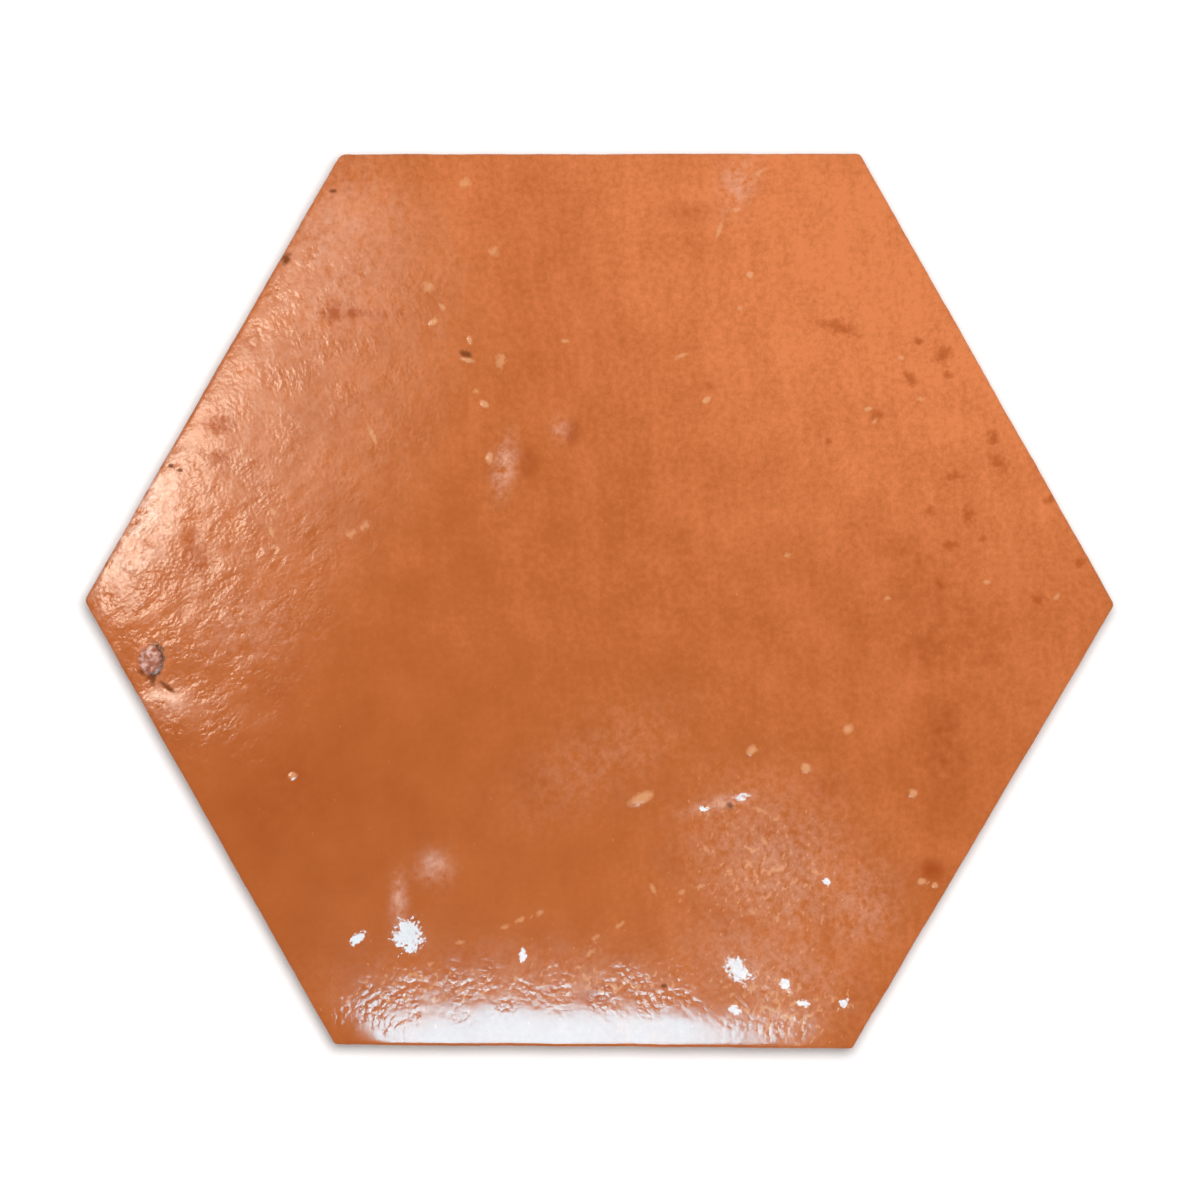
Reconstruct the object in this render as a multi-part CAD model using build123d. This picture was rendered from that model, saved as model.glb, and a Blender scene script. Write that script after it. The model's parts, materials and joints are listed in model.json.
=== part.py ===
from build123d import *
import os
from math import cos, pi, radians, sin, tan, tanh

# Hand-made glazed terracotta hexagon tile: one slab of clay, cut, fired and glazed in one piece.
# Two points of the hexagon lie on X, and two flats face +Y and -Y. The back lies on Z = 0.
# Lengths are in millimetres and angles in degrees.

# Slab
ACROSS_FLATS = 150.0  # nominal size, from flat to flat
THICKNESS = 12.0  # at the middle of the face
UNDERCUT = 5.0  # lean of the knife-cut sides, in towards the back
ARRIS_RADIUS = 0.5  # of the rounded edge between the face and the sides
BACK_ARRIS_RADIUS = 0.5  # of the rubbed edge between the sides and the back

# How far the hand-cut points lie from the true hexagon, along X and Y
POINT_DRIFT = {
    "right": (0.2, -0.6),
    "upper_right": (0.7, 0.1),
    "upper_left": (0.1, 0.0),
    "left": (0.4, 0.1),
    "lower_left": (-0.8, 0.5),
    "lower_right": (-0.6, -0.1),
}

# Radius of each knocked point, seen from above
POINT_RADIUS = {
    "right": 1.2,
    "upper_right": 1.0,
    "upper_left": 1.7,
    "left": 1.4,
    "lower_left": 0.7,
    "lower_right": 0.8,
}

# Face: it falls away towards each edge, and the pressed clay is left with long low swells
EDGE_FALL = 0.6  # drop of the face at an edge
EDGE_ROLL = 5.0  # distance from the edge over which it drops
SWELL_HEIGHT = 0.2  # of each swell, above and below the mean
SWELL_LENGTHS = (230.0, 190.0, 150.0)  # from crest to crest
SWELL_BEARINGS = (12.0, 75.0, 140.0)  # across the crests, from X

# The face is drawn as a smooth sheet through a grid of this many spans each way
FACE_SPANS = 36
FACE_TOLERANCE = 0.01

SIDES = len(POINT_DRIFT)
SIDE_TURN = 360 / SIDES
APOTHEM = ACROSS_FLATS / 2
POINT_REACH = APOTHEM / cos(radians(SIDE_TURN / 2))


def outline_points():
    """The six hand-cut points of the hexagon at its widest, anticlockwise from the one on +X."""
    points = []
    for number, (drift_x, drift_y) in enumerate(POINT_DRIFT.values()):
        bearing = radians(number * SIDE_TURN)
        points.append((POINT_REACH * cos(bearing) + drift_x, POINT_REACH * sin(bearing) + drift_y))
    return points


def face_height(x, y):
    """Height of the face above the back, at a place in the plan."""
    height = THICKNESS
    for number in range(SIDES):
        bearing = radians((number + 0.5) * SIDE_TURN)
        from_edge = APOTHEM - x * cos(bearing) - y * sin(bearing)
        height -= EDGE_FALL * (1 - tanh(from_edge / EDGE_ROLL))
    for length, direction in zip(SWELL_LENGTHS, SWELL_BEARINGS):
        across = x * cos(radians(direction)) + y * sin(radians(direction))
        height += SWELL_HEIGHT * sin(2 * pi * across / length)
    return height


def block():
    """The slab before its face is formed: undercut sides, rounded points and a flat top above the face."""
    top = THICKNESS + len(SWELL_LENGTHS) * SWELL_HEIGHT + ARRIS_RADIUS
    widest = THICKNESS - EDGE_FALL - ARRIS_RADIUS
    overhang = (top - widest) * tan(radians(UNDERCUT))
    outline = Polygon(*outline_points(), align=None)
    top_outline = offset(outline, overhang, kind=Kind.INTERSECTION)
    slab = extrude(Pos(0, 0, top) * top_outline, amount=-top, taper=UNDERCUT)
    for (x, y), radius in zip(outline_points(), POINT_RADIUS.values()):
        leaning_edges = slab.edges().filter_by(lambda edge: edge.bounding_box().size.Z > top / 2)
        slab = fillet(leaning_edges.sort_by_distance((x, y, widest))[0], radius)
    return slab


def face_sheet(slab):
    """The face as one smooth sheet that reaches past the slab on every side."""
    box = slab.bounding_box()
    step_x = (box.size.X + 2 * THICKNESS) / FACE_SPANS
    step_y = (box.size.Y + 2 * THICKNESS) / FACE_SPANS
    rows = []
    for row in range(FACE_SPANS + 1):
        y = box.min.Y - THICKNESS + row * step_y
        columns = [box.min.X - THICKNESS + column * step_x for column in range(FACE_SPANS + 1)]
        rows.append([(x, y, face_height(x, y)) for x in columns])
    return Face.make_surface_from_array_of_points(rows, tol=FACE_TOLERANCE, min_deg=3)


def hexagon_tile():
    """The whole tile, with the middle of its back at the origin."""
    slab = block()
    tile = slab.split(face_sheet(slab), keep=Keep.ALL).sort_by(Axis.Z)[0]
    tile = fillet(tile.faces().sort_by(Axis.Z)[-1].edges(), ARRIS_RADIUS)
    tile = fillet(tile.faces().sort_by(Axis.Z)[0].edges(), BACK_ARRIS_RADIUS)
    middle = tile.bounding_box().center()
    return Pos(-middle.X, -middle.Y, 0) * tile


os.makedirs("parts", exist_ok=True)
export_step(hexagon_tile(), "parts/hexagon_tile.step")
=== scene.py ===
import json
from math import cos, pi, radians, sin, tan

import bpy
import numpy as np
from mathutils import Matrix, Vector, noise

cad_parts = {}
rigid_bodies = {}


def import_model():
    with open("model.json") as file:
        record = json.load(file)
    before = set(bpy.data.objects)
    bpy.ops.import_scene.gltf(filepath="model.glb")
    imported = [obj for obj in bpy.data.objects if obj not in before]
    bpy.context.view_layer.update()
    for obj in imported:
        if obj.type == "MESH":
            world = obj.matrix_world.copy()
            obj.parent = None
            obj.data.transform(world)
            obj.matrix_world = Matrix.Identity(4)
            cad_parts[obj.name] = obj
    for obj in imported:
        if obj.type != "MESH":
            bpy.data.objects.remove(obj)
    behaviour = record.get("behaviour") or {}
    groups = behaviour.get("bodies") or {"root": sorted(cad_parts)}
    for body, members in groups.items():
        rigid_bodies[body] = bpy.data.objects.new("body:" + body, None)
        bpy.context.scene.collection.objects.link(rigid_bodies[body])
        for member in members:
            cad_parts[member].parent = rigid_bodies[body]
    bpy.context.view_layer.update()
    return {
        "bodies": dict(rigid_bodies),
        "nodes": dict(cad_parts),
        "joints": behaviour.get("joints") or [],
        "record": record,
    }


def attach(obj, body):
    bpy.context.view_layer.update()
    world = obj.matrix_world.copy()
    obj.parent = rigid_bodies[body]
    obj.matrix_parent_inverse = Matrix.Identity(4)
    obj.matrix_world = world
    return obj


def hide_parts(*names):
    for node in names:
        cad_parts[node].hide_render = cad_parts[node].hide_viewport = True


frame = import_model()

# Hand-made glazed terracotta hexagon tile, seen from straight above.
# Lengths are in millimetres and angles in degrees. MM turns a length into metres.
MM = 0.001

# The photograph: its width, the pixel at the middle of the tile, and the size of a pixel
PHOTO_WIDTH = 1200
PHOTO_MIDDLE = (599.4, 601.1)
PIXEL = 0.16785

# Slab, as in the part
ACROSS_FLATS = 150.0
THICKNESS = 12.0
UNDERCUT = 5.0
ARRIS_RADIUS = 0.5
BACK_ARRIS_RADIUS = 0.5
POINT_DRIFT = {
    "right": (0.2, -0.6),
    "upper_right": (0.7, 0.1),
    "upper_left": (0.1, 0.0),
    "left": (0.4, 0.1),
    "lower_left": (-0.8, 0.5),
    "lower_right": (-0.6, -0.1),
}
POINT_RADIUS = {
    "right": 1.2,
    "upper_right": 1.0,
    "upper_left": 1.7,
    "left": 1.4,
    "lower_left": 0.7,
    "lower_right": 0.8,
}
EDGE_FALL = 0.6
EDGE_ROLL = 5.0
SWELL_HEIGHT = 0.2
SWELL_LENGTHS = (230.0, 190.0, 150.0)
SWELL_BEARINGS = (12.0, 75.0, 140.0)
SIDES = len(POINT_DRIFT)
SIDE_TURN = 360 / SIDES
APOTHEM = ACROSS_FLATS / 2
POINT_REACH = APOTHEM / cos(radians(SIDE_TURN / 2))

# Mesh: rings of triangles on the face and on the back, and rows of quads down the sides between them
FACE_RINGS = 156
STITCH = 3
BACK_RINGS = FACE_RINGS // STITCH
ARRIS_ROWS = 4
SIDE_ROWS = 8
BACK_ARRIS_ROWS = 2

# Marks on the face are soft spots, each with the pixel that it shows in, its reach in pixels along
# and across a bearing, that bearing, and an amount.

# Hollows, below zero, and rises, in millimetres
HOLLOWS = {
    "trough_by_left_point": ((172, 678), 80, 30, -14, -0.30),
    "left_dent": ((192, 545), 17, 8, 75, -0.07),
    "left_dent_beside": ((212, 560), 12, 8, 60, -0.05),
    "left_ridge": ((160, 575), 30, 7, 20, 0.04),
    "upper_left_dent": ((220, 424), 12, 9, 20, -0.06),
    "middle_dent": ((503, 466), 24, 10, 80, -0.10),
    "large_glint": ((412, 948), 22, 16, 0, -0.06),
    "right_glint": ((740, 982), 20, 15, -30, -0.05),
    "dull_dent": ((434, 868), 16, 15, 0, -0.10),
    "pebble_foot": ((163, 688), 10, 4, -30, -0.15),
    "lower_wave_left": ((470, 1040), 70, 25, 0, -0.05),
    "lower_wave_right": ((655, 1040), 40, 22, 0, -0.05),
    "patch_pit": ((742, 803), 16, 6, 20, -0.05),
}

# Marks with four values have an outline: the pixel, half the length and half the width in pixels,
# and a bearing.

# Glints: facets that face the lower window
GLINTS = {
    "large": ((408, 936), 14, 12, 90),
    "right": ((738, 970), 13, 8, -45),
    "narrow": ((523, 955), 7, 3, 90),
    "slanted": ((358, 938), 8, 4, 35),
    "far": ((785, 985), 7, 4, -60),
    "far_low": ((803, 1003), 5, 3, 0),
    "far_left": ((735, 1010), 5, 4, 0),
    "cluster": ((843, 1003), 5, 4, 40),
    "patch_left": ((704, 809), 5, 2, -5),
    "patch_right": ((742, 797), 6, 3, 15),
    "patch_low": ((826, 882), 5, 3, -60),
}

# Where the strokes of sand and grit lean steeply, and fall instead of rise to the right
LEAN = {
    "upper_left": ((300, 300), 190, 190, 0, 1.0),
    "right": ((820, 940), 140, 160, 0, 1.0),
}

# How sandy the glaze is
SAND = {
    "left": ((140, 520), 170, 260, 0, 1.0),
    "upper_left": ((290, 340), 150, 170, 0, 0.55),
    "lower_left": ((225, 675), 80, 50, 30, 0.6),
}

# How gritty the glaze is
GRIT = {
    "lower_left": ((425, 1000), 105, 32, 6, 0.9),
    "lower_middle": ((610, 988), 110, 24, 0, 0.9),
    "lower_right": ((775, 1000), 75, 42, -30, 0.5),
    "large_glint": ((409, 930), 18, 26, 0, 0.3),
    "streak": ((398, 903), 8, 24, 0, 0.6),
    "right_glint": ((738, 968), 22, 20, 0, 0.7),
    "patch": ((770, 885), 90, 90, 0, 0.3),
    "patch_edge": ((728, 806), 40, 10, 14, 0.9),
    "patch_glint": ((822, 876), 18, 22, 0, 0.7),
    "dull_dent": ((434, 868), 17, 16, 0, 0.6),
    "middle_dent": ((505, 466), 9, 24, 0, 0.4),
}

# How far a painted sheen, a pale colour that stands in for light mirrored in the glaze, covers it
PAINTED_SHEENS = {
    "left_edge": ((140, 515), 85, 36, 60, 0.5),
    "left": ((205, 470), 200, 100, 62, 0.1),
    "left_low": ((236, 625), 50, 40, 0, 0.12),
    "upper_left": ((320, 260), 110, 70, 75, 0.14),
    "pebble_foot": ((165, 698), 22, 16, 0, 0.3),
    "dull_dent": ((434, 868), 18, 16, 0, 0.16),
    "streak": ((399, 900), 7, 24, 0, 0.24),
    "middle_dent": ((504, 466), 10, 26, -10, 0.3),
    "patch": ((775, 865), 85, 70, -35, 0.15),
    "patch_low": ((770, 970), 85, 55, -20, 0.13),
    "patch_edge": ((722, 804), 36, 8, 14, 0.32),
    "patch_right": ((860, 905), 40, 45, -30, 0.14),
    "grit": ((560, 985), 190, 36, 0, 0.1),
    "centre": ((600, 760), 90, 40, 30, 0.06),
    "top": ((737, 185), 16, 26, -20, 0.2),
    "upper_middle": ((561, 429), 8, 10, 0, 0.2),
}

# How dull the glaze is
DULL = {
    "left": ((170, 500), 170, 300, 0, 0.18),
    "patch": ((775, 865), 85, 70, -35, 0.5),
    "patch_low": ((770, 960), 80, 50, -20, 0.3),
    "patch_right": ((870, 915), 40, 55, -30, 0.3),
    "dull_dent": ((434, 868), 19, 17, 0, 0.7),
    "pebble": ((150, 660), 18, 18, 0, 1.0),
    "middle_dent": ((505, 466), 12, 26, 0, 0.6),
    "streak": ((399, 903), 9, 24, 0, 0.7),
    "lower_left": ((425, 1000), 105, 28, 6, 0.2),
    "lower_middle": ((610, 988), 110, 22, 0, 0.2),
    "lower_right": ((775, 1000), 75, 40, -30, 0.2),
}

# How many pale specks stand in the glaze; in the grit along the bottom and in the patch at the lower
# right they are partly painted highlights
SPECKLE = {
    "patch": ((770, 880), 95, 85, -35, 1.0),
    "patch_low": ((760, 985), 80, 50, -20, 0.9),
    "patch_edge": ((722, 806), 45, 12, 14, 1.0),
    "lower_middle": ((600, 985), 150, 34, 0, 1.1),
    "lower_left": ((430, 990), 100, 40, 6, 1.1),
    "lower_right": ((775, 1005), 70, 42, -20, 1.4),
    "cluster": ((843, 1003), 25, 22, 0, 1.0),
    "left": ((200, 560), 110, 170, 0, 0.5),
}

# How far the glaze is lighter, or below zero darker, than its middle tone: partly its own uneven tone,
# and partly painted light, with the upper right and the top lighter and the lower left darker
TONES_AND_PAINTED_LIGHT = {
    "upper_right": ((960, 330), 330, 260, 0, 0.56),
    "top": ((600, 150), 420, 190, 0, 0.30),
    "lower_left": ((290, 840), 260, 200, -20, -0.28),
    "right": ((1010, 680), 200, 180, 0, 0.10),
    "lower_right": ((860, 950), 140, 140, 0, 0.05),
    "right_point": ((1020, 625), 60, 60, 0, 0.14),
}

# Reddish stains in the glaze
STAINS = {
    "lower_left": ((290, 790), 55, 45, 20, 0.35),
    "lower_left_core": ((250, 795), 14, 24, 0, 0.35),
    "right": ((950, 615), 110, 60, -10, 0.3),
    "right_streak": ((945, 745), 26, 60, 0, 0.5),
    "right_streak_high": ((930, 650), 40, 26, 0, 0.4),
    "right_spot": ((985, 655), 26, 18, 0, 0.35),
    "right_soft": ((895, 550), 22, 14, 0, 0.35),
    "right_softer": ((925, 562), 14, 12, 0, 0.35),
    "patch_top": ((830, 790), 26, 16, 0, 0.35),
    "top": ((545, 260), 65, 140, 0, 0.14),
    "top_right": ((690, 212), 26, 10, 0, 0.35),
    "upper_left_line": ((368, 314), 40, 5, 0, 0.35),
    "upper_centre": ((708, 386), 6, 6, 0, 0.4),
    "upper_middle": ((574, 431), 10, 14, 0, 0.6),
    "middle": ((528, 464), 9, 14, 0, 0.55),
    "lower_red": ((595, 995), 14, 9, 0, 0.7),
    "lower_right": ((932, 870), 16, 12, 0, 0.5),
}

# Dark spots, whose outlines are ragged; those at the left and beside a pit (left, left_low, left_dent,
# pit_side) are partly painted shade, where the glaze dips away from the light
SPOTS = {
    "upper": ((838, 327), 16, 6, -15),
    "edge": ((943, 355), 9, 7, 20),
    "edge_above": ((918, 341), 4, 3, 0),
    "edge_low": ((947, 374), 5, 3, -20),
    "left_of_edge": ((910, 379), 7, 5, -40),
    "right": ((998, 463), 9, 6, -25),
    "right_above": ((993, 438), 5, 6, 0),
    "right_low": ((955, 476), 7, 4, 0),
    "right_faint": ((968, 515), 6, 7, 0),
    "right_small": ((983, 539), 3, 3, 0),
    "right_soft": ((949, 545), 7, 4, 0),
    "right_softer": ((930, 511), 4, 5, 0),
    "point": ((1038, 600), 6, 5, 0),
    "point_above": ((1079, 563), 5, 4, 0),
    "right_edge": ((1050, 500), 5, 4, 0),
    "pit_side": ((877, 415), 5, 5, 0),
    "under_pit": ((828, 442), 3, 3, 0),
    "right_inside": ((940, 585), 4, 4, 0),
    "lower_right": ((932, 870), 9, 7, 0),
    "left": ((220, 424), 14, 10, 20),
    "left_low": ((218, 457), 8, 6, 0),
    "left_dent": ((195, 552), 9, 20, 10),
    "upper_left": ((333, 313), 10, 8, 0),
    "upper_left_beside": ((352, 313), 8, 5, 0),
}

# Pale grains that show through the glaze, and painted highlights on the lips of pits (pit_lip, pit_rim)
GRAINS_AND_HIGHLIGHTS = {
    "right_one": ((752, 750), 5, 4, 30),
    "right_two": ((806, 768), 5, 4, 0),
    "right_three": ((848, 729), 5, 4, 60),
    "right_four": ((913, 793), 4, 4, 0),
    "oval": ((642, 798), 12, 5, 25),
    "lower_left": ((293, 776), 4, 3, 30),
    "middle_one": ((434, 322), 5, 3, 35),
    "middle_two": ((470, 340), 4, 2, -70),
    "pit_lip": ((468, 360), 6, 2, -12),
    "middle_three": ((485, 404), 4, 3, -50),
    "dent_beside": ((490, 458), 5, 3, 85),
    "upper_right": ((750, 275), 3, 3, 0),
    "upper_centre": ((707, 400), 4, 3, 40),
    "pit_rim": ((868, 409), 4, 2, 10),
    "lower_right": ((922, 881), 4, 3, 0),
    "lower_right_beside": ((935, 885), 3, 3, 0),
}

# Faint pale flecks: partly pale grit, and partly painted highlights on small lumps, as at the left and
# the top
FLECKS_AND_HIGHLIGHTS = {
    "middle_one": ((442, 307), 4, 2, -50),
    "middle_two": ((476, 391), 3, 2, 0),
    "middle_three": ((501, 360), 7, 4, 85),
    "centre_right": ((787, 555), 3, 2, 0),
    "upper_right": ((740, 308), 3, 2, 0),
    "pit_rim": ((875, 421), 3, 2, 50),
    "point": ((1057, 596), 4, 2, 40),
    "right_one": ((887, 598), 3, 2, 0),
    "right_two": ((987, 582), 3, 2, 0),
    "edge_one": ((901, 358), 3, 2, 0),
    "edge_two": ((920, 399), 3, 2, 0),
    "left_one": ((273, 512), 4, 2, -60),
    "left_two": ((271, 531), 5, 2, -70),
    "left_three": ((277, 549), 4, 2, -60),
    "left_four": ((351, 534), 5, 3, 40),
    "left_five": ((365, 526), 5, 3, 40),
    "left_six": ((373, 436), 9, 2, -70),
    "dash_one": ((505, 927), 4, 2, 20),
    "dash_two": ((520, 920), 5, 2, 30),
    "dash_three": ((540, 913), 4, 2, 40),
    "dash_four": ((590, 953), 5, 2, 40),
    "dash_five": ((596, 937), 4, 2, 30),
    "dash_six": ((620, 925), 5, 2, 30),
    "dash_seven": ((460, 942), 4, 2, 0),
    "patch_one": ((653, 889), 5, 2, -60),
    "patch_two": ((682, 892), 4, 2, 30),
    "patch_three": ((700, 886), 4, 2, 20),
    "patch_four": ((706, 849), 4, 2, -60),
    "patch_five": ((759, 810), 5, 2, -15),
    "patch_six": ((777, 818), 3, 2, 40),
    "patch_seven": ((765, 842), 4, 2, -70),
    "patch_eight": ((750, 864), 4, 2, -60),
    "patch_nine": ((729, 871), 3, 2, 0),
    "patch_ten": ((775, 870), 6, 2, 10),
    "patch_eleven": ((815, 872), 4, 2, -30),
    "patch_twelve": ((752, 912), 4, 2, -40),
    "top_one": ((465, 183), 5, 4, 30),
    "top_two": ((494, 251), 4, 4, 0),
    "top_three": ((428, 287), 5, 4, -30),
    "top_four": ((759, 173), 7, 2, 35),
    "top_five": ((737, 210), 3, 2, 0),
    "top_six": ((719, 230), 7, 2, 75),
    "top_seven": ((565, 341), 3, 2, 0),
    "top_eight": ((681, 356), 6, 2, 20),
}

# Pits in the glaze
PITS = {
    "upper_middle": ((466, 354), 6, 3, -12),
    "patch": ((730, 806), 4, 3, -45),
    "edge_chip": ((286, 259), 6, 4, 60),
    "corner": ((333, 191), 3, 2, 0),
    "left_one": ((171, 466), 3, 2, 0),
    "left_two": ((180, 470), 3, 2, 0),
    "pebble_left": ((142, 672), 4, 3, -40),
    "pebble_notch": ((153, 679), 6, 3, 90),
    "pebble_crack": ((167, 687), 9, 2, -38),
    "lower": ((664, 986), 3, 2, 0),
}

# The pebble in the glaze
PEBBLES = {"left": ((150, 660), 14, 11, 80)}
PEBBLE_HEIGHT = 0.5

# How many of its own sizes away a mark is still in its own frame
NEAR = 4.0

# Heights of the low waves of the face, in its mesh
PLAIN_WAVES = 0.012
SAND_WAVES = 0.07
GRIT_WAVES = 0.03

# Heights of the finest relief, in its bump
SAND_STROKES = 0.165
GRIT_LUMPS = 0.038
FINE_SAND = 0.03
PEEL = 0.01
GRAIN_HEIGHT = 0.05
GLAZE_THICKNESS = 0.15
CLAY_DRAG = 0.25
CLAY_SAND = 0.1

# The round lumps of the grit: their size, and how far noise breaks them up, as a share of their height
LUMP_SIZE = 1.1
LUMP_BREAK = 1.8

# Patterns in the tone of the glaze, and the tones at which it is orange and bright orange
CLOUDS = 0.5
STREAKS = 0.35
MOTTLE = 0.95
MIDDLE_TONE = 0.5
BRIGHT_TONE = 1.2

# How unevenly stains cover the glaze, and how far the other marks cover it
STAIN_CHANGE = 2.4
SPOT_STRENGTH = 0.6
GRAIN_STRENGTH = 0.6
PIT_STRENGTH = 0.8
FLECK_STRENGTH = 0.45

# Specks show where noise is high: how far their places raise it, and the levels between which they appear
SPECK_SHARE = 0.25
SPECK_LEVELS = (0.33, 0.46)

# The cut sides: long and short unevenness
WOBBLE = 0.1
FRAY = 0.05

# Noise in the mesh: length of its features, how many times they are drawn out, on which bearing,
# and a seed
WAVES = {
    "plain": (7.0, 1.0, 0.0, 1.0),
    "sand": (2.6, 1.4, 45.0, 3.0),
    "long_sand": (6.0, 1.0, 0.0, 5.0),
    "grit": (2.0, 1.4, 20.0, 4.0),
    "wobble": (9.0, 1.0, 0.0, 6.0),
    "fray": (1.6, 1.0, 0.0, 7.0),
}

# Noise in the glaze: size of its features, how many times they are drawn out, on which bearing,
# how many finer layers it has, and how strong each is beside the one before
NOISES = {
    "clouds": (9.0, 1.0, 0.0, 3.0, 0.5),
    "streaks": (2.2, 7.0, 98.0, 2.0, 0.5),
    "mottle": (1.1, 1.0, 0.0, 3.0, 0.7),
    "stains": (2.0, 1.0, 0.0, 3.0, 0.5),
    "specks": (0.9, 1.5, 70.0, 1.0, 0.5),
    "rising_strokes": (2.2, 1.35, 42.0, 2.6, 0.66),
    "falling_strokes": (2.2, 1.35, 108.0, 2.6, 0.66),
    "patches": (5.0, 1.0, 0.0, 2.0, 0.5),
    "lumps": (1.2, 1.0, 0.0, 2.0, 0.5),
    "fine_sand": (0.6, 1.0, 0.0, 2.0, 0.5),
    "peel": (1.8, 1.0, 0.0, 1.0, 0.5),
    "gloss": (4.0, 1.0, 0.0, 1.0, 0.5),
    "lip": (7.0, 1.0, 0.0, 3.0, 0.5),
    "pebble": (1.0, 1.0, 0.0, 2.0, 0.5),
    "mark_edge": (0.9, 1.0, 0.0, 2.0, 0.5),
    "spot_edge": (1.0, 1.0, 0.0, 3.0, 0.6),
    "fleck_edge": (0.7, 1.0, 0.0, 1.0, 0.5),
    "glint_edge": (1.6, 1.0, 0.0, 1.0, 0.5),
    "glint_grit": (0.5, 1.0, 0.0, 1.0, 0.5),
}

# Noise in the bare clay: the size and the height of its features
CLAY_NOISES = {"mottle": (3.0, 3.0), "drag": (12.0, 0.6), "sand": (0.7, 0.7)}

# How far those noises fray the outlines of marks
MARK_FRAY = 1.0
SPOT_FRAY = 2.6
FLECK_FRAY = 1.6
GLINT_FRAY = 1.2
GLINT_GRIT = 1.8
PEBBLE_FRAY = 0.4

# How far the outlines of marks are softened, as a share of their size
GRAIN_SOFTNESS = 0.4
PIT_SOFTNESS = 0.5
SPOT_SOFTNESS = 0.6
FLECK_SOFTNESS = 0.5
GLINT_SOFTNESS = 0.3
PEBBLE_SOFTNESS = 0.1

# How far the crack beside the pebble reaches past it, as a share of its size
PEBBLE_CRACK = 0.35

# Finish of the glaze and of the bare clay
GLOSS = 0.13
GLOSS_CHANGE = 0.06
DULLNESS = 0.28
BARE_ROUGHNESS = 0.85
GLAZE_IOR = 1.6
MIRROR_LEVEL = 0.5
SPOT_SHADE = 0.6

# How far the painted sheen is mottled, the span of noise over which it breaks up, and between which
# levels
PAINTED_SHEEN_MOTTLE = 0.7
PAINTED_SHEEN_SPAN = 0.2
PAINTED_SHEEN_LEVELS = (0.0, 2.0)

# The span of noise over which sand and grit come and go, and between which levels
PATCH_SPAN = 0.14
PATCH_LEVELS = (0.2, 1.8)

# Spans over which the pebble, the crack beside it and the bare clay change colour
PEBBLE_LEVELS = (-0.1, 0.25)
CRACK_SPAN = 0.3
CLAY_SPAN = 0.2

# The glaze ends in an uneven lip below the rim
LIP_DROP = 1.7
LIP_CHANGE = 3.5
LIP_FADE = 0.15

# The pixel in which a level face mirrors what glints mirror, and how far they turn to it for each metre
GLINT_AIM = (530, 1280)
GLINT_TURN = 2.0

# Camera
LENS = 600.0
SENSOR = 36.0
OUTLINE_HEIGHT = 10.8
CAMERA_DISTANCE = PHOTO_WIDTH * PIXEL * LENS / SENSOR
NEAREST_SEEN = 10.0

# Windows mirrored in the glaze: the pixel in which a level face mirrors the middle of each, its reach
# in pixels across and up the picture, the share of that reach over which its edge fades, its radiance
# and its colour
WARM = (1.0, 0.95, 0.77)
COOL = (0.36, 0.82, 1.0)
WINDOWS = {
    "window": ((-150, 440), (285, 220), 0.5, 7.5, WARM),
    "curtain": ((0, 350), (290, 260), 0.3, 0.4, WARM),
    "wall": ((45, 310), (355, 380), 0.06, 1.4, WARM),
    "lower_window": ((505, 1330), (235, 250), 0.2, 18.5, COOL),
}

# The sheet that glows with them: its height above the face, the box of pixels that mirror it,
# and the step of its grid in pixels
SHEET_HEIGHT = 277.5
SHEET_LEFT = -400
SHEET_RIGHT = 800
SHEET_TOP = -150
SHEET_BOTTOM = 1650
SHEET_STEP = 12

# The key lamp only lights and shades, and isn't mirrored
KEY_SIZE = 800.0
KEY_BEARING = 66.0
KEY_TILT = 4.3
KEY_DISTANCE = 2800.0
KEY_LEVEL = 0.9

# Light from all around, beside the white that the camera sees
AMBIENT = 0.1

# The floor: its glow, how far it lies below the back, and its hole and rim, as multiples of the outline
FLOOR_GLOW = 0.08
FLOOR_GAP = 0.02
FLOOR_HOLE = 0.95
FLOOR_RIM = 26.0

# Colours, linear
DEEP_ORANGE = (0.44, 0.10, 0.018)
ORANGE = (0.56, 0.145, 0.034)
BRIGHT_ORANGE = (0.83, 0.25, 0.085)
# Reddish stains, and the painted shade of some dark spots
STAIN_AND_SHADE = (0.40, 0.07, 0.01)
# Pale grains, and the painted highlights of flecks, specks and the lips of pits
PALE_GRAIN_AND_HIGHLIGHT = (0.92, 0.47, 0.23)
# Painted sheen: a pale colour that stands in for light mirrored in the glaze
PAINTED_SHEEN = (0.93, 0.56, 0.42)
PIT_BROWN = (0.16, 0.045, 0.015)
DARK_PEBBLE = (0.38, 0.12, 0.07)
# Pale mottle of the pebble, partly painted highlight
PALE_PEBBLE_AND_HIGHLIGHT = (0.9, 0.56, 0.47)
BARE_CLAY = (0.56, 0.25, 0.125)
DARK_CLAY = (0.40, 0.15, 0.07)
FLOOR_GREY = (0.97, 0.97, 0.97)
WHITE = (1.0, 1.0, 1.0)


def on_tile(pixel):
    """The place on the tile that a pixel of the photograph shows."""
    return np.array([pixel[0] - PHOTO_MIDDLE[0], PHOTO_MIDDLE[1] - pixel[1]]) * PIXEL


def heading(degrees):
    """The unit vector on that bearing in the plan, from X towards Y."""
    return np.array([cos(radians(degrees)), sin(radians(degrees))])


def outline_points():
    """The six hand-cut points of the outline, anticlockwise from the right, and the middle of their box.

    The points are given from that middle.
    """
    true_points = [POINT_REACH * heading(number * SIDE_TURN) for number in range(SIDES)]
    points = np.array(true_points) + np.array(list(POINT_DRIFT.values()))
    middle = (points.min(axis=0) + points.max(axis=0)) / 2
    return points - middle, middle


POINTS, MIDDLE = outline_points()
RADII = np.array(list(POINT_RADIUS.values()))


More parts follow.
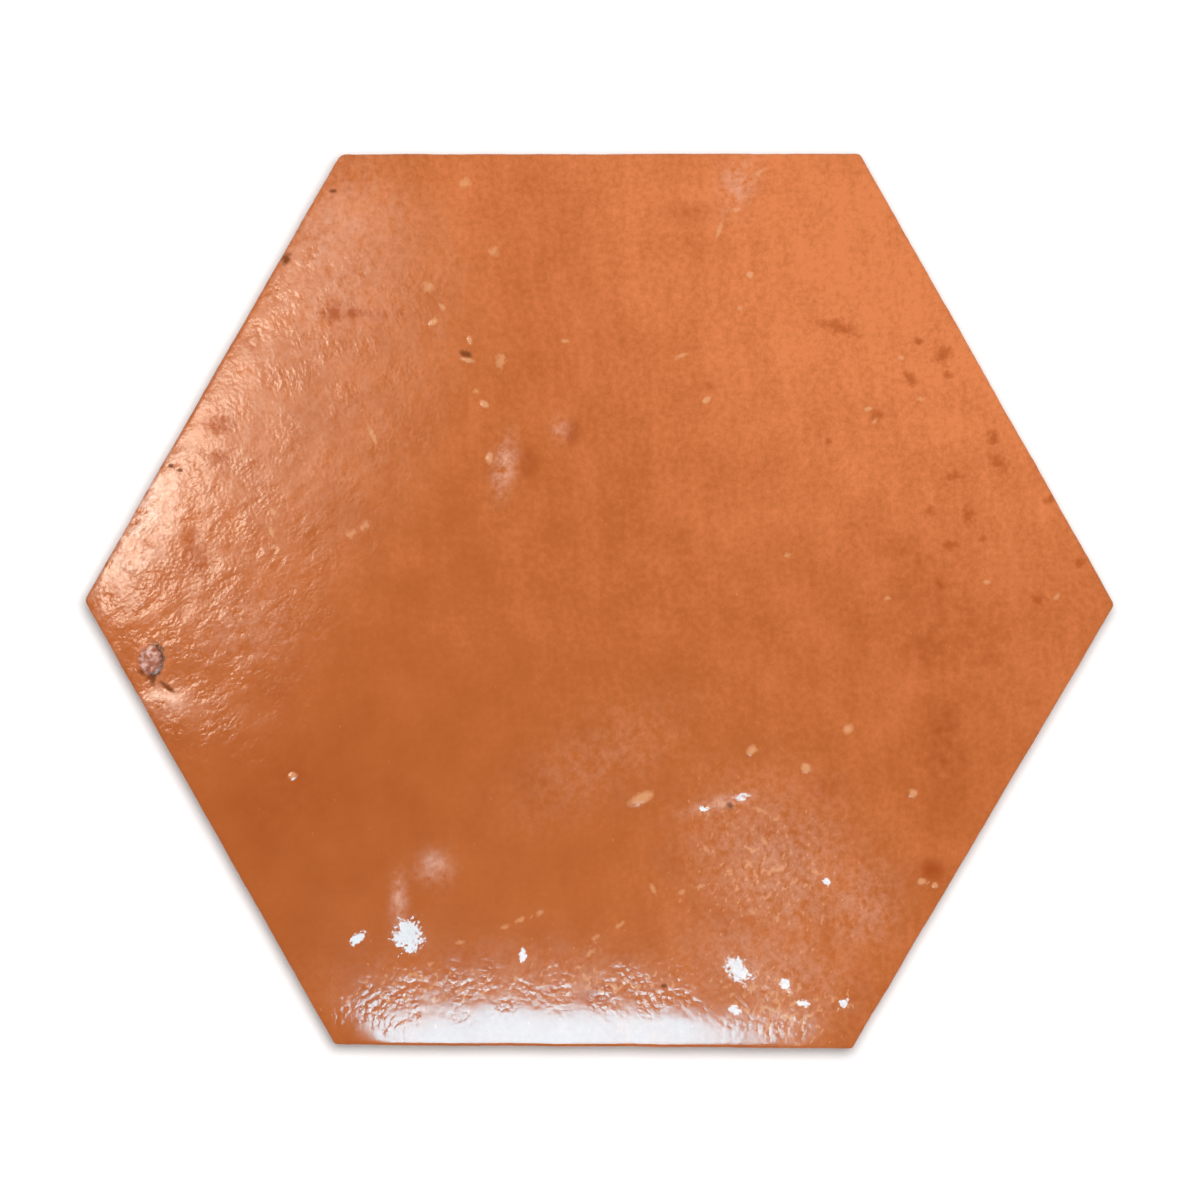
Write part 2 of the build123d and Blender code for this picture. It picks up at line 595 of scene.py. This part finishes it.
def rim(sector, share, inset=0.0):
    """Places on the outline, drawn in by an inset, and the directions out from it.

    A share runs along a sector's side of the hexagon, between the middles of its two rounded points.
    """
    ahead = np.roll(POINTS, -1, axis=0) - POINTS
    ahead = ahead / np.linalg.norm(ahead, axis=1)[:, None]
    out = np.stack([ahead[:, 1], -ahead[:, 0]], axis=1)
    before = np.roll(out, 1, axis=0)
    turn = (out * before).sum(axis=1)
    core = POINTS - (out + before) * ((RADII + inset) / (1 + turn))[:, None]
    next_core = np.roll(core, -1, axis=0)
    next_radius = np.roll(RADII, -1)
    straight = ((next_core - core) * ahead).sum(axis=1)
    first_arc = RADII * np.arccos(turn) / 2
    last_arc = np.roll(first_arc, -1)
    along = share * (first_arc + straight + last_arc)[sector] - first_arc[sector]
    on_straight = np.clip(along, 0, straight[sector])
    first_bend = np.minimum(along, 0) / RADII[sector]
    last_bend = np.maximum(along - straight[sector], 0) / next_radius[sector]
    bearing = np.arctan2(out[:, 1], out[:, 0])[sector] + first_bend + last_bend
    outward = np.stack([np.cos(bearing), np.sin(bearing)], axis=1)
    past = (along > straight[sector])[:, None]
    centre = np.where(past, next_core[sector], core[sector] + ahead[sector] * on_straight[:, None])
    radius = np.where(past, next_radius[sector][:, None], RADII[sector][:, None])
    return centre + outward * radius, outward


def face_height(places):
    """Height of the face above the back, without its fine relief."""
    nominal = places + MIDDLE
    height = np.full(len(places), THICKNESS)
    for number in range(SIDES):
        from_edge = APOTHEM - nominal @ heading((number + 0.5) * SIDE_TURN)
        height -= EDGE_FALL * (1 - np.tanh(from_edge / EDGE_ROLL))
    for length, bearing in zip(SWELL_LENGTHS, SWELL_BEARINGS):
        height += SWELL_HEIGHT * np.sin(2 * pi * (nominal @ heading(bearing)) / length)
    return height


def ring_numbers(rings):
    """Ring, sector and share along the sector of each point of a hexagonal lattice, from the middle."""
    ring = [0]
    sector = [0]
    share = [0.0]
    for number in range(1, rings + 1):
        for side in range(SIDES):
            for step in range(number):
                ring.append(number)
                sector.append(side)
                share.append(step / number)
    return np.array(ring), np.array(sector), np.array(share)


def ring_start(number):
    """Index of the first point of a lattice's ring."""
    return 0 if number == 0 else 1 + SIDES * number * (number - 1) // 2


def ring_triangles(rings):
    """Triangles of a hexagonal lattice, anticlockwise from above."""
    triangles = []
    for number in range(1, rings + 1):
        outer = ring_start(number)
        inner = ring_start(number - 1)
        around = SIDES * number
        inner_around = max(SIDES * (number - 1), 1)
        for side in range(SIDES):
            for step in range(number):
                here = outer + side * number + step
                ahead = outer + (side * number + step + 1) % around
                below = inner + (side * (number - 1) + step) % inner_around
                triangles.append((below, here, ahead))
                if step < number - 1:
                    below_ahead = inner + (side * (number - 1) + step + 1) % inner_around
                    triangles.append((below, ahead, below_ahead))
    return triangles


def side_rows(rim_height):
    """Rows of the side, from arris to back: inset of the outline, cut made by an arris, and height."""
    rows = []
    for row in range(1, ARRIS_ROWS + 1):
        turn = radians(90 - (90 + UNDERCUT) * row / ARRIS_ROWS)
        rows.append((0.0, ARRIS_RADIUS * (1 - cos(turn)), rim_height - ARRIS_RADIUS * (1 - sin(turn))))
    top = rows[-1][2]
    foot = BACK_ARRIS_RADIUS
    for row in range(1, SIDE_ROWS + 1):
        level = top + (foot - top) * row / SIDE_ROWS
        inset = (top - level).mean() * tan(radians(UNDERCUT))
        rows.append((inset, 0.0, level))
    for row in range(1, BACK_ARRIS_ROWS + 1):
        turn = radians(90 * row / BACK_ARRIS_ROWS)
        level = np.full(len(top), BACK_ARRIS_RADIUS * (1 - sin(turn)))
        rows.append((inset, BACK_ARRIS_RADIUS * (1 - cos(turn)), level))
    return rows


def noise_at(places, name):
    """Smooth noise from -1 to 1, by its name in WAVES."""
    length, drawn_out, bearing, seed = WAVES[name]
    along = places @ heading(bearing) / (length * drawn_out)
    across = places @ heading(bearing + 90) / length
    return np.array([noise.noise((a, b, seed)) for a, b in zip(along, across)])


def spot(places, pixel, along, across, bearing):
    """A soft spot, 1 at a pixel, that falls away along and across a bearing."""
    offset = places - on_tile(pixel)
    first = offset @ heading(bearing) / (along * PIXEL)
    second = offset @ heading(bearing + 90) / (across * PIXEL)
    return np.exp(-(first * first + second * second))


def summed(places, marks):
    """The amounts of overlapping soft spots, added up."""
    return sum(amount * spot(places, *shape) for *shape, amount in marks.values())


def covered(places, marks):
    """The largest amount among overlapping soft spots."""
    return np.max([amount * spot(places, *shape) for *shape, amount in marks.values()], axis=0)


def framed(places, marks):
    """Places in the frame of the nearest outlined mark, where its outline has radius 1.

    The last value grows far from every mark, and halfway between two.
    """
    frames = []
    for pixel, along, across, bearing in marks.values():
        offset = places - on_tile(pixel)
        first = offset @ heading(bearing) / (along * PIXEL)
        second = offset @ heading(bearing + 90) / (across * PIXEL)
        frames.append(np.column_stack([first, second]))
    gaps = [np.linalg.norm(frame, axis=1) for frame in frames] + [np.full(len(places), np.inf)]
    nearest = np.argmin(gaps, axis=0)
    gap, next_gap = np.partition(gaps, 1, axis=0)[:2]
    off = np.maximum(gap - NEAR, 0) + np.maximum(1 + gap - next_gap, 0) * NEAR
    return np.column_stack([np.array(frames)[nearest, np.arange(len(places))], off])


def pebble(places):
    """Height of the pebble that stands in the glaze by the left point."""
    share = np.linalg.norm(framed(places, PEBBLES), axis=1)
    return PEBBLE_HEIGHT * np.sqrt(np.clip(1 - share * share, 0, 1))


def relief(places):
    """Relief of the face: hollows and the pebble, and low waves that are stronger where it is sandy."""
    height = summed(places, HOLLOWS) + pebble(places)
    height += PLAIN_WAVES * noise_at(places, "plain")
    sand = noise_at(places, "sand") + noise_at(places, "long_sand")
    height += SAND_WAVES * sand * covered(places, SAND)
    height += GRIT_WAVES * noise_at(places, "grit") * covered(places, GRIT)
    return height


def wear(places):
    """How far the hand-cut sides stand out from the outline."""
    return WOBBLE * noise_at(places, "wobble") + FRAY * noise_at(places, "fray")


def tile_points():
    """Points of the tile, of its face, side rows and back, and how far each lies below the rim."""
    ring, sector, share = ring_numbers(FACE_RINGS)
    edge, out = rim(sector, share)
    edge = edge + out * wear(edge)[:, None]
    places = (edge - out * ARRIS_RADIUS) * (ring / FACE_RINGS)[:, None]
    height = face_height(places) + relief(places)
    points = [np.column_stack([places, height])]
    drop = [np.zeros(len(places))]
    last = ring == FACE_RINGS
    rim_height = height[last]
    for inset, cut, level in side_rows(rim_height):
        edge, out = rim(sector[last], share[last], inset)
        outset = wear(edge) - cut
        points.append(np.column_stack([edge + out * outset[:, None], level]))
        drop.append(rim_height - level)
    ring, sector, share = ring_numbers(BACK_RINGS)
    edge, out = rim(sector, share, inset)
    places = (edge + out * (wear(edge) - BACK_ARRIS_RADIUS)[:, None]) * (ring / BACK_RINGS)[:, None]
    points.append(np.column_stack([places, np.zeros(len(places))]))
    drop.append(np.full(len(places), THICKNESS))
    return np.concatenate(points), np.concatenate(drop)


def tile_faces():
    """Faces of the tile, between the points that tile_points gives."""
    faces = ring_triangles(FACE_RINGS)
    around = SIDES * FACE_RINGS
    upper = ring_start(FACE_RINGS)
    for _ in range(ARRIS_ROWS + SIDE_ROWS + BACK_ARRIS_ROWS):
        lower = upper + around
        for index in range(around):
            ahead = (index + 1) % around
            faces.append((upper + index, lower + index, lower + ahead, upper + ahead))
        upper = lower
    back = upper + around
    back_rim = back + ring_start(BACK_RINGS)
    back_around = SIDES * BACK_RINGS
    turn_at = STITCH // 2 + 1
    for index in range(back_around):
        here = back_rim + index
        ahead = back_rim + (index + 1) % back_around
        for offset in range(STITCH):
            above = upper + (index * STITCH + offset) % around
            above_ahead = upper + (index * STITCH + offset + 1) % around
            faces.append((above, here if offset < turn_at else ahead, above_ahead))
        faces.append((upper + (index * STITCH + turn_at) % around, here, ahead))
    for first, second, third in ring_triangles(BACK_RINGS):
        faces.append((back + first, back + third, back + second))
    return faces


def node(tree, kind, inputs=None, **settings):
    """A new node, with its settings, and inputs that are values or sockets to link."""
    made = tree.nodes.new(kind)
    for name, value in settings.items():
        setattr(made, name, value)
    for key, value in (inputs or {}).items():
        if isinstance(value, bpy.types.NodeSocket):
            tree.links.new(value, made.inputs[key])
        else:
            made.inputs[key].default_value = value
    return made


def maths(tree, operation, first, second):
    """A sum, product or other operation on two values."""
    return node(tree, "ShaderNodeMath", {0: first, 1: second}, operation=operation).outputs[0]


def times(tree, first, second):
    return maths(tree, "MULTIPLY", first, second)


def minus(tree, first, second):
    return maths(tree, "SUBTRACT", first, second)


def plus(tree, first, *others):
    for other in others:
        first = maths(tree, "ADD", first, other)
    return first


def vectors(tree, operation, first, second=None):
    """A sum or other operation on two vectors, or on a vector and a scale."""
    socket = "Scale" if operation == "SCALE" else 1
    inputs = {0: first} if second is None else {0: first, socket: second}
    return node(tree, "ShaderNodeVectorMath", inputs, operation=operation).outputs[0]


def stretch(tree, value, low, high, low_result=0.0, high_result=1.0):
    """A value from one range moved to another, and held at its ends."""
    ranges = {0: value, 1: low, 2: high, 3: low_result, 4: high_result}
    return node(tree, "ShaderNodeMapRange", ranges).outputs[0]


def blend(tree, factor, first, second):
    """A colour between two, by a factor."""
    return node(tree, "ShaderNodeMix", {0: factor, 6: first, 7: second}, data_type="RGBA").outputs[2]


def opaque(colour):
    """A colour with its alpha."""
    return (*colour, 1.0)


def attribute(tree, name):
    """A value kept in the mesh, by its name."""
    return node(tree, "ShaderNodeAttribute", attribute_name=name).outputs["Fac"]


def inside(tree, name, fray, soft):
    """1 inside the outlined marks of a kind and 0 outside, with frayed and softened outlines."""
    place = node(tree, "ShaderNodeAttribute", attribute_name=name).outputs["Vector"]
    apart = node(tree, "ShaderNodeVectorMath", {0: place}, operation="LENGTH").outputs["Value"]
    return stretch(tree, plus(tree, apart, fray), 1 + soft, 1 - soft)


def grain(tree, name, amount=1.0):
    """Noise over the plan, by its name in NOISES, from minus half the amount to plus half of it."""
    size, drawn_out, bearing, layers, strength = NOISES[name]
    place = node(tree, "ShaderNodeTexCoord").outputs["Object"]
    scale = Vector((size * drawn_out, size, size)) * MM
    turn = {"Vector": place, "Rotation": (0, 0, radians(bearing)), "Scale": scale}
    turned = node(tree, "ShaderNodeMapping", turn, vector_type="TEXTURE")
    field = node(tree, "ShaderNodeTexNoise",
                 {"Vector": turned.outputs[0], "Scale": 1.0, "Detail": layers, "Roughness": strength},
                 noise_dimensions="2D")
    return times(tree, minus(tree, field.outputs["Fac"], 0.5), amount)


def clay_grain(tree, name):
    """Noise from -0.5 to 0.5 in the body of the clay, by its name in CLAY_NOISES."""
    size, height = CLAY_NOISES[name]
    place = node(tree, "ShaderNodeTexCoord").outputs["Object"]
    scale = Vector((size, size, height)) * MM
    scaled = node(tree, "ShaderNodeMapping", {"Vector": place, "Scale": scale}, vector_type="TEXTURE")
    field = node(tree, "ShaderNodeTexNoise", {"Vector": scaled.outputs[0], "Scale": 1.0})
    return minus(tree, field.outputs["Fac"], 0.5)


def brushed(tree):
    """Noise from -0.5 to 0.5 in strokes of sand, which rise or, where they lean, fall to the right."""
    lean = attribute(tree, "lean")
    rising = times(tree, grain(tree, "rising_strokes"), minus(tree, 1.0, lean))
    return plus(tree, rising, times(tree, grain(tree, "falling_strokes"), lean))


def lumps(tree):
    """Round lumps over the plan, whose height falls from 0 to about -0.5 between them."""
    place = node(tree, "ShaderNodeTexCoord").outputs["Object"]
    field = node(tree, "ShaderNodeTexVoronoi", {"Vector": place, "Scale": 1 / (LUMP_SIZE * MM)},
                 voronoi_dimensions="2D")
    apart = field.outputs["Distance"]
    return minus(tree, 0.0, times(tree, apart, apart))


def toned(tree):
    """The colour of the clear glaze over the clay, from a tone that carries painted light, with clouds,
    streaks and mottling.
    """
    tone = attribute(tree, "tone")
    fine = plus(tree, grain(tree, "streaks", STREAKS), grain(tree, "mottle", MOTTLE))
    tone = plus(tree, tone, grain(tree, "clouds", CLOUDS), times(tree, fine, tone))
    colour = blend(tree, stretch(tree, tone, 0.0, MIDDLE_TONE), opaque(DEEP_ORANGE), opaque(ORANGE))
    return blend(tree, stretch(tree, tone, MIDDLE_TONE, BRIGHT_TONE), colour, opaque(BRIGHT_ORANGE))


def glaze_colour(tree, grains_and_highlights, pits, spots, strokes):
    """The colour of the glaze with its stains, painted sheen, dark spots with some painted shade, pale
    flecks, specks and grains with some painted highlights, and pits.
    """
    uneven = plus(tree, 1.0, grain(tree, "stains", STAIN_CHANGE))
    colour = blend(tree, times(tree, attribute(tree, "stain"), uneven), toned(tree), opaque(STAIN_AND_SHADE))
    # Painted sheen: a pale colour laid where light is mirrored in the glaze
    broken = plus(tree, strokes, grain(tree, "mottle", PAINTED_SHEEN_MOTTLE))
    uneven = stretch(tree, broken, -PAINTED_SHEEN_SPAN, PAINTED_SHEEN_SPAN, *PAINTED_SHEEN_LEVELS)
    colour = blend(tree, times(tree, attribute(tree, "painted_sheen"), uneven), colour, opaque(PAINTED_SHEEN))
    # Dark spots, partly painted shade at the left and beside a pit
    colour = blend(tree, times(tree, spots, SPOT_STRENGTH), colour, opaque(STAIN_AND_SHADE))
    # Pale specks and flecks, partly painted highlights
    specks = plus(tree, grain(tree, "specks"), times(tree, attribute(tree, "speckle"), SPECK_SHARE))
    flecks_and_highlights = inside(tree, "flecks_and_highlights", grain(tree, "fleck_edge", FLECK_FRAY), FLECK_SOFTNESS)
    flecks_and_highlights = maths(tree, "MAXIMUM", stretch(tree, specks, *SPECK_LEVELS), flecks_and_highlights)
    colour = blend(tree, times(tree, flecks_and_highlights, FLECK_STRENGTH), colour, opaque(PALE_GRAIN_AND_HIGHLIGHT))
    # Pale grains, and painted highlights on the lips of pits
    colour = blend(tree, times(tree, grains_and_highlights, GRAIN_STRENGTH), colour, opaque(PALE_GRAIN_AND_HIGHLIGHT))
    return blend(tree, times(tree, pits, PIT_STRENGTH), colour, opaque(PIT_BROWN))


def pebbled(tree, colour, fray):
    """A colour with the pebble, whose pale mottle is partly painted highlight, and the dark crack at its
    right, laid over it.
    """
    mottle = stretch(tree, grain(tree, "pebble"), *PEBBLE_LEVELS)
    stone = blend(tree, mottle, opaque(DARK_PEBBLE), opaque(PALE_PEBBLE_AND_HIGHLIGHT))
    place = node(tree, "ShaderNodeAttribute", attribute_name="pebbles").outputs["Vector"]
    beside = node(tree, "ShaderNodeSeparateXYZ", {0: place}).outputs["Y"]
    right = stretch(tree, beside, CRACK_SPAN, -CRACK_SPAN)
    fray = times(tree, fray, PEBBLE_FRAY)
    crack = inside(tree, "pebbles", minus(tree, fray, PEBBLE_CRACK), PEBBLE_SOFTNESS)
    colour = blend(tree, times(tree, crack, right), colour, opaque(PIT_BROWN))
    return blend(tree, inside(tree, "pebbles", fray, PEBBLE_SOFTNESS), colour, stone)


def glinting(tree, normal, glint):
    """A normal that turns to the lower window where the glaze glints."""
    place = node(tree, "ShaderNodeTexCoord").outputs["Object"]
    x, y = on_tile(GLINT_AIM)
    away = vectors(tree, "SUBTRACT", Vector((x, y, THICKNESS)) * MM, place)
    turn = vectors(tree, "SCALE", away, GLINT_TURN)
    turn = vectors(tree, "SCALE", turn, glint)
    return vectors(tree, "NORMALIZE", vectors(tree, "ADD", normal, turn))


def clay_colour(tree):
    """The mottled colour of the bare clay."""
    mottle = stretch(tree, clay_grain(tree, "mottle"), -CLAY_SPAN, CLAY_SPAN)
    return blend(tree, mottle, opaque(DARK_CLAY), opaque(BARE_CLAY))


def glaze_relief(tree, grains_and_highlights, strokes):
    """Height of the finest relief of the glaze, in millimetres: strokes in sand and lumps in grit."""
    patches = stretch(tree, grain(tree, "patches"), -PATCH_SPAN, PATCH_SPAN, *PATCH_LEVELS)
    sand = attribute(tree, "sand")
    strokes = times(tree, strokes, times(tree, times(tree, sand, patches), SAND_STROKES))
    grit = plus(tree, lumps(tree), grain(tree, "lumps", LUMP_BREAK))
    grit = times(tree, grit, times(tree, times(tree, attribute(tree, "grit"), patches), GRIT_LUMPS))
    fine = times(tree, grain(tree, "fine_sand", FINE_SAND), sand)
    return plus(tree, strokes, grit, fine, grain(tree, "peel", PEEL), times(tree, grains_and_highlights, GRAIN_HEIGHT))


def clay_relief(tree):
    """Height of the relief of the bare clay, in millimetres: drag marks along the cut sides, and sand."""
    drag = times(tree, clay_grain(tree, "drag"), CLAY_DRAG)
    return plus(tree, drag, times(tree, clay_grain(tree, "sand"), CLAY_SAND))


def finish(tree, glint, glaze):
    """Roughness of the glaze, which is dull in places, and of the bare clay."""
    dull = times(tree, attribute(tree, "dull"), minus(tree, 1.0, glint))
    gloss = plus(tree, GLOSS, times(tree, dull, DULLNESS), grain(tree, "gloss", GLOSS_CHANGE))
    bare = minus(tree, 1.0, glaze)
    return plus(tree, times(tree, gloss, glaze), times(tree, bare, BARE_ROUGHNESS))


def mirroring(tree, pits, spots):
    """How strongly the glaze mirrors: less in pits, in dark spots and on the pebble."""
    stone = inside(tree, "pebbles", 0.0, PEBBLE_SOFTNESS)
    shade = maths(tree, "MAXIMUM", pits, times(tree, plus(tree, spots, stone), SPOT_SHADE))
    return times(tree, minus(tree, 1.0, shade), MIRROR_LEVEL)


def fine_relief(tree, grains_and_highlights, strokes, glaze):
    """Height of the finest relief, in millimetres, with a step down from the glaze to the bare clay."""
    on_glaze = plus(tree, glaze_relief(tree, grains_and_highlights, strokes), GLAZE_THICKNESS)
    bare = minus(tree, 1.0, glaze)
    return plus(tree, times(tree, on_glaze, glaze), times(tree, clay_relief(tree), bare))


def glazed_terracotta():
    """Clear glaze over terracotta, which ends in an uneven lip and leaves the clay bare below it."""
    material = bpy.data.materials.new("glazed_terracotta")
    material.use_nodes = True
    tree = material.node_tree
    fray = grain(tree, "mark_edge", MARK_FRAY)
    grains_and_highlights = inside(tree, "grains_and_highlights", fray, GRAIN_SOFTNESS)
    pits = inside(tree, "pits", fray, PIT_SOFTNESS)
    spots = inside(tree, "spots", grain(tree, "spot_edge", SPOT_FRAY), SPOT_SOFTNESS)
    broken = plus(tree, grain(tree, "glint_edge", GLINT_FRAY), grain(tree, "glint_grit", GLINT_GRIT))
    glint = inside(tree, "glints", broken, GLINT_SOFTNESS)
    strokes = brushed(tree)
    lip = plus(tree, LIP_DROP, grain(tree, "lip", LIP_CHANGE))
    glaze = stretch(tree, minus(tree, lip, attribute(tree, "drop")), -LIP_FADE, LIP_FADE)
    colour = pebbled(tree, glaze_colour(tree, grains_and_highlights, pits, spots, strokes), fray)
    height = fine_relief(tree, grains_and_highlights, strokes, glaze)
    bump = node(tree, "ShaderNodeBump", {"Strength": 1.0, "Distance": MM, "Height": height})
    links = {
        "Base Color": blend(tree, glaze, clay_colour(tree), colour),
        "Roughness": finish(tree, glint, glaze),
        "Specular IOR Level": mirroring(tree, pits, spots),
        "Normal": glinting(tree, bump.outputs["Normal"], glint),
    }
    shader = tree.nodes["Principled BSDF"]
    for name, value in links.items():
        tree.links.new(value, shader.inputs[name])
    shader.inputs["IOR"].default_value = GLAZE_IOR
    return material


def face_marks(places):
    """The marks of the glaze at each place, by the names that its material reads."""
    soft = {
        "stain": STAINS,
        "sand": SAND,
        "grit": GRIT,
        "painted_sheen": PAINTED_SHEENS,
        "dull": DULL,
        "lean": LEAN,
        "speckle": SPECKLE,
    }
    outlined = {
        "pebbles": PEBBLES,
        "grains_and_highlights": GRAINS_AND_HIGHLIGHTS,
        "flecks_and_highlights": FLECKS_AND_HIGHLIGHTS,
        "pits": PITS,
        "glints": GLINTS,
        "spots": SPOTS,
    }
    # The tone is partly painted light: lighter towards the upper right and the top, darker towards the
    # lower left
    values = {"tone": MIDDLE_TONE + summed(places, TONES_AND_PAINTED_LIGHT)}
    for name, marks in soft.items():
        values[name] = covered(places, marks)
    for name, marks in outlined.items():
        values[name] = framed(places, marks)
    return values


def hexagon_tile():
    """The dressed tile, whose mesh keeps the marks of its glaze."""
    points, drop = tile_points()
    mesh = bpy.data.meshes.new("glazed_tile")
    mesh.from_pydata((points * MM).tolist(), [], tile_faces())
    mesh.validate()
    mesh.shade_smooth()
    values = face_marks(points[:, :2])
    values["drop"] = drop
    for name, value in values.items():
        kind, field = ("FLOAT", "value") if value.ndim == 1 else ("FLOAT_VECTOR", "vector")
        mesh.attributes.new(name, kind, "POINT").data.foreach_set(field, value.astype(np.float32).ravel())
    mesh.materials.append(glazed_terracotta())
    tile = bpy.data.objects.new("glazed_tile", mesh)
    bpy.context.scene.collection.objects.link(tile)
    return tile


def camera():
    """The camera, straight above the tile and at the photograph's scale."""
    data = bpy.data.cameras.new("camera")
    data.lens = LENS
    data.sensor_width = SENSOR
    data.clip_start = NEAREST_SEEN * MM
    viewer = bpy.data.objects.new("camera", data)
    bpy.context.scene.collection.objects.link(viewer)
    middle = on_tile((PHOTO_WIDTH / 2, PHOTO_WIDTH / 2))
    viewer.location = Vector((middle[0], middle[1], OUTLINE_HEIGHT + CAMERA_DISTANCE)) * MM
    bpy.context.scene.camera = viewer


def window_light(pixels):
    """The light that a level face mirrors in each pixel: its red, green and blue radiance."""
    light = np.zeros((len(pixels), 3))
    for middle, reach, fade, radiance, colour in WINDOWS.values():
        share = np.linalg.norm((pixels - np.array(middle)) / np.array(reach), axis=1)
        ramp = np.clip((1 + fade / 2 - share) / fade, 0, 1)
        light += np.outer(ramp * ramp * (3 - 2 * ramp), radiance * np.array(colour))
    return light


def glowing():
    """A see-through material that glows with the light kept in its mesh."""
    material = bpy.data.materials.new("windows")
    material.use_nodes = True
    tree = material.node_tree
    tree.nodes.remove(tree.nodes["Principled BSDF"])
    light = node(tree, "ShaderNodeAttribute", attribute_name="light").outputs["Color"]
    glow = node(tree, "ShaderNodeEmission", {"Color": light})
    clear = node(tree, "ShaderNodeBsdfTransparent")
    both = node(tree, "ShaderNodeAddShader", {0: glow.outputs[0], 1: clear.outputs[0]})
    tree.links.new(both.outputs[0], tree.nodes["Material Output"].inputs["Surface"])
    material.cycles.emission_sampling = "NONE"
    return material


def windows():
    """A level sheet with soft windows, which is only mirrored."""
    across = np.arange(SHEET_LEFT, SHEET_RIGHT, SHEET_STEP)
    down = np.arange(SHEET_TOP, SHEET_BOTTOM, SHEET_STEP)
    pixels = np.stack(np.meshgrid(across, down), axis=-1).reshape(-1, 2)
    places = on_tile(pixels.T).T * (1 + SHEET_HEIGHT / CAMERA_DISTANCE)
    points = np.column_stack([places, np.full(len(places), THICKNESS + SHEET_HEIGHT)])
    faces = []
    for row in range(len(down) - 1):
        for column in range(len(across) - 1):
            corner = row * len(across) + column
            below = corner + len(across)
            faces.append((corner, below, below + 1, corner + 1))
    mesh = bpy.data.meshes.new("windows")
    mesh.from_pydata((points * MM).tolist(), [], faces)
    light = mesh.attributes.new("light", "FLOAT_VECTOR", "POINT")
    light.data.foreach_set("vector", window_light(pixels).ravel())
    mesh.materials.append(glowing())
    sheet = bpy.data.objects.new("windows", mesh)
    bpy.context.scene.collection.objects.link(sheet)
    sheet.visible_camera = False
    sheet.visible_diffuse = False
    sheet.visible_shadow = False


def key_lamp():
    """A distant round lamp, which gives the soft shadow."""
    data = bpy.data.lights.new("key", "AREA")
    data.shape = "DISK"
    data.size = KEY_SIZE * MM
    data.energy = KEY_LEVEL * (pi * KEY_DISTANCE * MM) ** 2 / cos(radians(KEY_TILT))
    data.cycles.use_multiple_importance_sampling = False
    key = bpy.data.objects.new("key", data)
    bpy.context.scene.collection.objects.link(key)
    aside = heading(KEY_BEARING) * sin(radians(KEY_TILT))
    towards = Vector((aside[0], aside[1], cos(radians(KEY_TILT))))
    key.location = towards * KEY_DISTANCE * MM
    key.rotation_mode = "QUATERNION"
    key.rotation_quaternion = towards.to_track_quat("Z", "Y")
    key.visible_glossy = False
    key.visible_camera = False


def seen(tree):
    """1 for what the camera, a mirror or glass sees, and 0 for what lights the object."""
    path = node(tree, "ShaderNodeLightPath").outputs
    mirrored = maths(tree, "MAXIMUM", path["Is Glossy Ray"], path["Is Transmission Ray"])
    return maths(tree, "MAXIMUM", path["Is Camera Ray"], mirrored)


def floor():
    """A floor with a hole under the tile, through which its back is seen from below."""
    material = bpy.data.materials.new("floor")
    material.use_nodes = True
    tree = material.node_tree
    tree.nodes.remove(tree.nodes["Principled BSDF"])
    matt = node(tree, "ShaderNodeBsdfDiffuse", {"Color": opaque(FLOOR_GREY)})
    glow = node(tree, "ShaderNodeEmission", {"Strength": times(tree, seen(tree), FLOOR_GLOW)})
    both = node(tree, "ShaderNodeAddShader", {0: matt.outputs[0], 1: glow.outputs[0]})
    tree.links.new(both.outputs[0], tree.nodes["Material Output"].inputs["Surface"])
    mesh = bpy.data.meshes.new("floor")
    points = [(x, y, -FLOOR_GAP) for x, y in np.concatenate([POINTS * FLOOR_HOLE, POINTS * FLOOR_RIM])]
    faces = []
    for side in range(SIDES):
        ahead = (side + 1) % SIDES
        faces.append((side, SIDES + side, SIDES + ahead, ahead))
    mesh.from_pydata((np.array(points) * MM).tolist(), [], faces)
    mesh.materials.append(material)
    plane = bpy.data.objects.new("floor", mesh)
    bpy.context.scene.collection.objects.link(plane)


def world():
    """White where the camera sees past the floor, and a faint light from all around."""
    made = bpy.data.worlds.new("world")
    made.use_nodes = True
    tree = made.node_tree
    path = node(tree, "ShaderNodeLightPath").outputs
    strength = maths(tree, "MAXIMUM", path["Is Camera Ray"], AMBIENT)
    background = tree.nodes["Background"]
    background.inputs["Color"].default_value = opaque(WHITE)
    tree.links.new(strength, background.inputs["Strength"])
    bpy.context.scene.world = made


tile = hexagon_tile()
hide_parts("hexagon_tile")
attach(tile, "root")
camera()
windows()
key_lamp()
floor()
world()
bpy.context.scene.view_settings.view_transform = "Standard"
